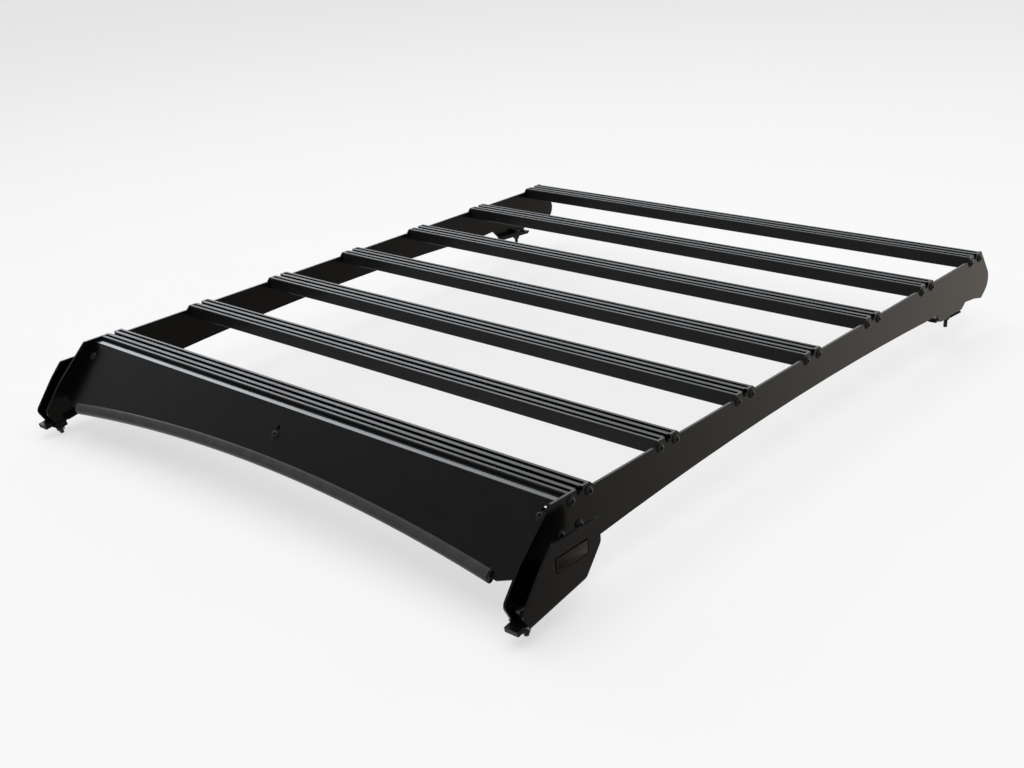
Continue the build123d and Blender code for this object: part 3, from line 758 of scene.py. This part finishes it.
def make_fasteners(black, zinc):
    """Bolts and nuts that the solids leave out, and full bolts for the clamps."""
    dice = random.Random(TURN_SEED)
    for side, name in ((-1, "left"), (1, "right")):
        for index in range(SLAT_COUNT):
            for half, end in ((-1, "front"), (1, "back")):
                y = index * SLAT_PITCH + half * END_BOLT_HALF_SPACING
                turn = Matrix.Rotation(dice.uniform(0, math.pi / 3), 4, "Z")
                place = rail_seat(side, RAIL_OUT, y, -END_BOLT_DROP, 1) @ turn
                label = f"{name}_slat_{index + 1}_{end}_bolt"
                button_head().piece(label, place, black, "clamp_metal")
        for index, (y, z) in enumerate(BRACKET_BOLTS):
            outer = rail_seat(side, RAIL_OUT, y, z, 1)
            button_head().piece(f"{name}_bracket_bolt_{index + 1}", outer, black, "clamp_metal")
            inner = rail_seat(side, RAIL_IN - BRACKET_THICKNESS, y, z, -1)
            plain_nut().piece(f"{name}_bracket_nut_{index + 1}", inner, zinc, "bolt_steel")
        inner = rail_seat(side, RAIL_IN, *FOOT_NUT, -1)
        plain_nut().piece(f"{name}_foot_nut", inner, zinc, "bolt_steel")
        outer = rail_seat(side, RAIL_OUT, *FOOT_NUT, 1)
        button_head(FOOT_BOLT_SIZE).piece(f"{name}_foot_bolt", outer, black, "clamp_metal")
        for index, along in enumerate(FLANGE_BOLT_ALONG):
            x = side * FLANGE_BOLT_X
            place = foot_seat(FRONT_BASE, FRONT_SLOPE, x, along, RAIL_THICKNESS)
            label = f"{name}_flange_bolt_{index + 1}"
            button_head(FLANGE_BOLT_SIZE).piece(label, place, black, "clamp_metal")
        front = foot_seat(FRONT_BASE, FRONT_SLOPE, side * FRONT_BOLT_X, FRONT_BOLT_ALONG, 0)
        bolt = clamp_bolt(FRONT_NUT_SEAT, FRONT_BOLT_END, FRONT_HEAD_SEAT, FRONT_COLLAR_SEAT)
        piece = bolt.piece(f"{name}_front_clamp_bolt_full", front, zinc, "bolt_steel")
        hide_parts(f"{name}_front_clamp_bolt")
        rear = foot_seat(REAR_BASE, REAR_SLOPE, side * REAR_BOLT_X, REAR_BOLT_ALONG, 0)
        bolt = clamp_bolt(REAR_NUT_SEAT, REAR_BOLT_END, REAR_HEAD_SEAT)
        piece = bolt.piece(f"{name}_rear_clamp_bolt_full", rear, zinc, "bolt_steel")
        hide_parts(f"{name}_rear_clamp_bolt")
    for index, (x, depth) in enumerate(DEFLECTOR_BOLTS):
        front = deflector_seat(x, depth, 0.0, 1)
        bolt = button_head(DEFLECTOR_BOLT_SIZE)
        bolt.piece(f"deflector_bolt_{index + 1}", front, black, "clamp_metal")
        back = deflector_seat(x, depth, DEFLECTOR_THICKNESS + BRACKET_THICKNESS, -1)
        plain_nut().piece(f"deflector_nut_{index + 1}", back, zinc, "bolt_steel")
    place = (0, MIDDLE_BRACKET_BOLT_Y, -SLAT_HEIGHT - BRACKET_THICKNESS)
    under = seat(place, (0, 0, -1), (1, 0, 0))
    button_head().piece("middle_bracket_bolt", under, black, "clamp_metal")


def arc(middle, radius, start, end):
    """Points of a section's round corner."""
    points = []
    for step in range(CORNER_STEPS + 1):
        angle = math.radians(start + (end - start) * step / CORNER_STEPS)
        points.append((middle[0] + radius * math.cos(angle), middle[1] + radius * math.sin(angle)))
    return points


def trim_section():
    """Outline of the trim with its slot for the sheet, and its front and back hollows."""
    upper, back = TRIM_TOP - TRIM_ROUND, TRIM_BACK + TRIM_ROUND
    top_front = (upper, TRIM_FRONT - TRIM_ROUND)
    low_front = (TRIM_LOW + TRIM_LOW_ROUND, TRIM_FRONT - TRIM_LOW_ROUND)
    low_back = (TRIM_LOW + TRIM_ROUND, back)
    outline = arc(low_back, TRIM_ROUND, 180, 270) + arc((upper, back), TRIM_ROUND, 270, 360)
    outline += [(TRIM_TOP, TRIM_SLOT[0]), (TRIM_SLOT_DEPTH, TRIM_SLOT[0])]
    outline += [(TRIM_SLOT_DEPTH, TRIM_SLOT[1]), (TRIM_TOP, TRIM_SLOT[1])]
    outline += arc(top_front, TRIM_ROUND, 0, 90) + arc(low_front, TRIM_LOW_ROUND, 90, 180)
    inner = TRIM_ROUND - TRIM_WALL
    front = arc(top_front, inner, 0, 90)
    front += arc(low_front, TRIM_LOW_ROUND - TRIM_WALL, 90, TRIM_HOLLOW_END)
    side = TRIM_SLOT[0] - TRIM_WALL
    rear = [(TRIM_TOP - TRIM_WALL, side), (TRIM_LOW + TRIM_WALL, side)]
    rear += arc(low_back, inner, 180, 270) + arc((upper, back), inner, 270, 360)
    return outline, front, rear


def trim_point(angle, up, out):
    """Point of the trim at an angle of the arch, up the deflector's face and out of it."""
    radius = ARCH_RADIUS + up
    depth = ARCH_DEPTH + ARCH_RADIUS - radius * math.cos(angle)
    return (radius * math.sin(angle), *deflector_point(depth, out))


def make_trim(look):
    """Hollow trim swept along the arch, with open ends."""
    outline, front, rear = trim_section()
    loops = (outline, front[::-1], rear[::-1])
    reach = math.asin(TRIM_HALF / ARCH_RADIUS)
    angles = [reach * (2 * i / TRIM_STEPS - 1) for i in range(TRIM_STEPS + 1)]
    shell = Shell()
    starts, ends = [], []
    for loop in loops:
        first = len(shell.points)
        last = first + TRIM_STEPS * len(loop)
        shell.skin([[trim_point(a, *p) for p in loop] for a in angles], closed=False)
        starts += range(first, first + len(loop))
        ends += range(last, last + len(loop))
    flat = [[Vector((up, out, 0)) for up, out in loop] for loop in loops]
    corners = [p for loop in flat for p in loop]
    for triangle in tessellate_polygon(flat):
        a, b, c = (corners[i] for i in triangle)
        if (b - a).cross(c - a).z < 0:
            triangle = tuple(reversed(triangle))
        shell.faces.append(tuple(starts[i] for i in reversed(triangle)))
        shell.faces.append(tuple(ends[i] for i in triangle))
    place = Matrix.Translation(spot(0, 0, 0))
    piece = shell.piece("deflector_edge_trim_hollow", place, look, "trim_rubber")
    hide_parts("deflector_edge_trim")


def make_flange_lip(look):
    """Top flange of the deflector with its back part, up to the first slat; its lighter coat is
    painted light.
    """
    shell = Shell()
    ends = (-DEFLECTOR_HALF, DEFLECTOR_HALF)
    shell.skin([[(x, y, z) for y, z in FLANGE_LIP] for x in ends])
    place = Matrix.Translation(spot(0, 0, 0))
    shell.piece("deflector_flange_lip", place, look, "deflector_coat")


def make_badges(look, field, gasket_and_gap_shade):
    """Bare plates on dark gaskets on the front foot covers. The gasket's near-black rim also
    paints the shade of the gap round each plate, and the border's lighter coat is a painted
    highlight.
    """
    turn = math.radians(BADGE_TURN)
    along = (0, math.cos(turn), math.sin(turn))
    for side, name in ((-1, "left"), (1, "right")):
        place = seat((side * COVER_OUT, *BADGE_MIDDLE), (side, 0, 0), along)
        badge_part(BADGE_GASKET).piece(f"{name}_badge_gasket", place, gasket_and_gap_shade, "pad_rubber")
        badge_part(BADGE_BORDER).piece(f"{name}_badge_border", place, look, "rail_coat")
        badge_part(BADGE_FIELD).piece(f"{name}_badge_field", place, field, "rail_coat")


def dress_solids(looks):
    """Gives every solid its finish and soft edges."""
    for node in NODES.values():
        slot = node.material_slots[0].material.name
        for holder in node.material_slots:
            holder.material = looks[slot]
        soften(node, EDGE_WIDTHS[slot])


slat_look = powder_coat(
    "slat_coat_look", dark=(0.009, 0.0095, 0.010), light=(0.013, 0.0135, 0.014),
    worn=(0.018, 0.018, 0.019), gloss=(0.22, 0.3), specular=0.5, grain=0.08, streaks=True)
rail_look = powder_coat(
    "rail_coat_look", dark=(0.002, 0.002, 0.0018), light=(0.0032, 0.0031, 0.003),
    worn=(0.0035, 0.0035, 0.0033), gloss=(0.18, 0.24), specular=0.5, grain=0.03)
deflector_look = powder_coat(
    "deflector_coat_look", dark=(0.0015, 0.0015, 0.0015), light=(0.0026, 0.0026, 0.0026),
    worn=(0.005, 0.005, 0.005), gloss=(0.26, 0.32), specular=0.5, grain=0.03)
# Lighter copy of the deflector's coat in the slats' tone, for the top flange lip: painted light
# that makes the lip's strip brighter than the sheet it belongs to
flange_painted_light_look = powder_coat(
    "flange_coat_painted_light_look", dark=(0.009, 0.0095, 0.010), light=(0.013, 0.0135, 0.014),
    worn=(0.018, 0.018, 0.019), gloss=(0.15, 0.2), specular=1.0, grain=0.03)
bracket_look = powder_coat(
    "bracket_coat_look", dark=(0.002, 0.002, 0.002), light=(0.0035, 0.0035, 0.0035),
    worn=(0.01, 0.01, 0.01), gloss=(0.38, 0.48), specular=0.5, grain=0.14)
clamp_look = powder_coat(
    "clamp_metal_look", dark=(0.0015, 0.0015, 0.0015), light=(0.003, 0.003, 0.003),
    worn=(0.006, 0.006, 0.006), gloss=(0.2, 0.28), specular=0.5, grain=0.08)
# Badge border coat, several times lighter than the rail's: a painted highlight along the raised
# border's edge
badge_border_painted_highlight_look = powder_coat(
    "badge_border_painted_highlight_look", dark=(0.016, 0.016, 0.0155), light=(0.022, 0.022, 0.0215),
    worn=(0.04, 0.04, 0.04), gloss=(0.22, 0.28), specular=0.6, grain=0.03)
trim_look = rubber(
    "trim_rubber_look", dark=(0.050, 0.050, 0.051), light=(0.064, 0.064, 0.065),
    smooth=0.28, rib_scale=90.0, rib_strength=0.1)
# Near-black, almost unreflective coat for the badge gasket: a dark rim that also paints the shade
# in the gap round the badge plate
gasket_and_gap_shade_look = powder_coat(
    "gasket_and_gap_shade_look", dark=(0.0008, 0.0008, 0.0008), light=(0.0014, 0.0014, 0.0014),
    worn=(0.002, 0.002, 0.002), gloss=(0.4, 0.46), specular=0.03, grain=0.02)
pad_look = rubber(
    "pad_rubber_look", dark=(0.010, 0.010, 0.010), light=(0.018, 0.018, 0.018),
    smooth=0.5, rib_scale=60.0, rib_strength=0.35)
black_look = steel(
    "fastener_black_look", dark=(0.010, 0.010, 0.010), light=(0.02, 0.02, 0.02),
    gloss=(0.2, 0.34), metallic=0.0)
zinc_look = steel(
    "bolt_steel_look", dark=(0.12, 0.12, 0.122), light=(0.19, 0.19, 0.193),
    gloss=(0.3, 0.45), metallic=1.0)

make_camera()
make_floor()
make_backdrop()
make_light()
make_fasteners(black_look, zinc_look)
make_flange_lip(flange_painted_light_look)
make_trim(trim_look)
make_badges(badge_border_painted_highlight_look, rail_look, gasket_and_gap_shade_look)
dress_solids({
    "slat_coat": slat_look,
    "rail_coat": rail_look,
    "deflector_coat": deflector_look,
    "bracket_coat": bracket_look,
    "clamp_metal": clamp_look,
    "bolt_steel": zinc_look,
    "trim_rubber": trim_look,
    "pad_rubber": pad_look,
})
bpy.context.scene.view_settings.view_transform = "Standard"
